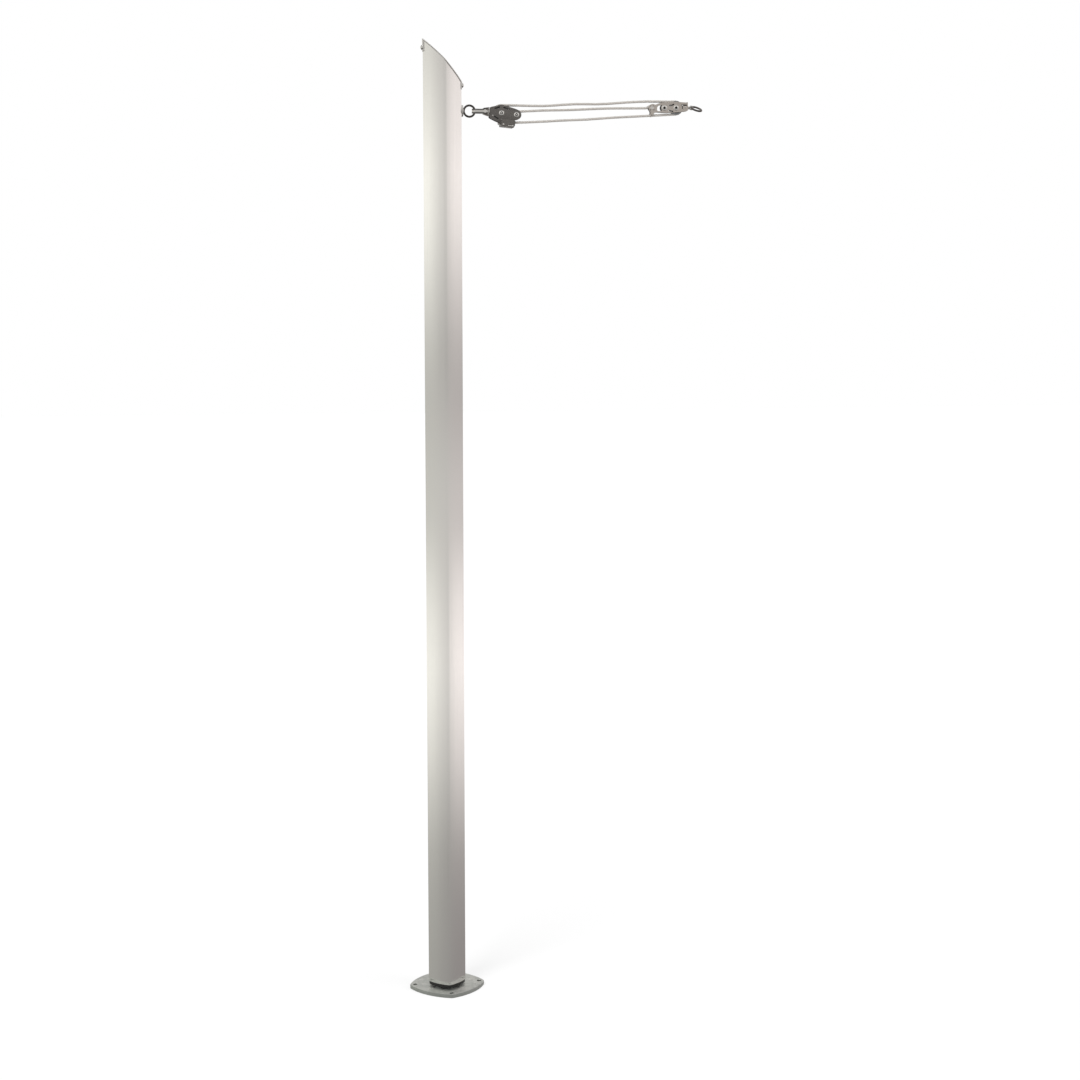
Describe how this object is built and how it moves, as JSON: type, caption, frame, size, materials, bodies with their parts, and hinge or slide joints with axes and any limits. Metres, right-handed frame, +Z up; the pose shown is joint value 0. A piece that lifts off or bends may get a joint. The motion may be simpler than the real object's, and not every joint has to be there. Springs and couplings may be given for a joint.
{
  "type": "shade sail mast",
  "caption": "Tall four-cornered aluminium mast with bowed faces, slanted top and flanged foot, carrying an eye, a shackle and a rope tackle that tightens a shade sail.",
  "frame": {"origin": "centre of the underside of the foot plate, where it stands on the ground", "axes": "+Z runs up the mast, +X points from the mast to the sail along the tackle, so the tube's corners lie on the X and Y axes"},
  "size_m": [0.9527, 0.242, 3.0277],
  "materials": {
    "mast_aluminium": "satin anodised",
    "plate_metal": "satin",
    "collar_gloss": "high gloss",
    "polished_steel": "polished stainless",
    "dark_steel": "polished stainless, dark",
    "frame_steel": "satin stainless",
    "cheek_composite": "satin moulded",
    "sheave_plastic": "satin moulded",
    "rope_braid": "braided polyester"
  },
  "bodies": {
    "mast": {"base_plate": "plate_metal", "base_stub": "mast_aluminium", "foot_collar": "collar_gloss", "lower_mast": "mast_aluminium", "joint_sleeve": "mast_aluminium", "upper_mast": "mast_aluminium", "top_cap": "mast_aluminium", "cap_screw_high": "polished_steel", "cap_screw_low": "polished_steel", "eye_washer": "polished_steel", "eye_bolt": "dark_steel", "eye_nut": "polished_steel"},
    "shackle": {"shackle_strap": "polished_steel", "shackle_pin": "polished_steel"},
    "swivel": {"swivel_post": "dark_steel"},
    "tackle": {"block_head": "dark_steel", "near_cheek": "cheek_composite", "far_cheek": "cheek_composite", "large_axle": "polished_steel", "small_axle": "polished_steel", "cleat_bracket": "cheek_composite", "near_cam_pin": "polished_steel", "far_cam_pin": "polished_steel", "rope": "rope_braid", "near_frame": "frame_steel", "far_frame": "frame_steel", "lead_axle": "polished_steel", "idle_axle": "polished_steel", "becket_pin": "polished_steel", "end_head": "frame_steel"},
    "large_wheel": {"large_sheave": "sheave_plastic"},
    "small_wheel": {"small_sheave": "sheave_plastic"},
    "lead_wheel": {"lead_sheave": "sheave_plastic"},
    "idle_wheel": {"idle_sheave": "sheave_plastic"},
    "near_jaw": {"near_cam": "sheave_plastic"},
    "far_jaw": {"far_cam": "sheave_plastic"},
    "ring_swivel": {"end_swivel": "polished_steel"},
    "ring": {"end_ring": "dark_steel"}
  },
  "joints": [
    {"name": "shackle_yaw", "type": "hinge", "parent": "mast", "child": "shackle", "pos_m": [0.10175, 0, 2.809], "axis": [0, 0, 1], "range_deg": [-60, 60]},
    {"name": "block_pitch", "type": "hinge", "parent": "shackle", "child": "swivel", "pos_m": [0.13275, 0, 2.809], "axis": [0, 1, 0], "range_deg": [-60, 80]},
    {"name": "block_swivel", "type": "hinge", "parent": "swivel", "child": "tackle", "pos_m": [0.13275, 0, 2.809], "axis": [0.9952, 0, -0.0976], "continuous": true},
    {"name": "large_sheave_spin", "type": "hinge", "parent": "tackle", "child": "large_wheel", "pos_m": [0.1845, 0, 2.80393], "axis": [0, 1, 0], "continuous": true},
    {"name": "small_sheave_spin", "type": "hinge", "parent": "tackle", "child": "small_wheel", "pos_m": [0.23178, 0, 2.79929], "axis": [0, 1, 0], "continuous": true},
    {"name": "lead_sheave_spin", "type": "hinge", "parent": "tackle", "child": "lead_wheel", "pos_m": [0.744, 0, 2.828], "axis": [0, 1, 0], "continuous": true},
    {"name": "idle_sheave_spin", "type": "hinge", "parent": "tackle", "child": "idle_wheel", "pos_m": [0.70601, 0, 2.8272], "axis": [0, 1, 0], "continuous": true},
    {"name": "near_cam_pivot", "type": "hinge", "parent": "tackle", "child": "near_jaw", "pos_m": [0.2054, -0.0125, 2.80188], "axis": [0.0976, 0, 0.9952], "range_deg": [0, 35]},
    {"name": "far_cam_pivot", "type": "hinge", "parent": "tackle", "child": "far_jaw", "pos_m": [0.2054, 0.0125, 2.80188], "axis": [-0.0976, 0, -0.9952], "range_deg": [0, 35]},
    {"name": "end_swivel_spin", "type": "hinge", "parent": "tackle", "child": "ring_swivel", "pos_m": [0.744, 0, 2.828], "axis": [0.9998, 0, 0.0209], "continuous": true},
    {"name": "ring_hinge", "type": "hinge", "parent": "ring_swivel", "child": "ring", "pos_m": [0.79549, 0, 2.82908], "axis": [-0.0085, 0.9135, 0.4066], "range_deg": [-100, 70]}
  ]
}
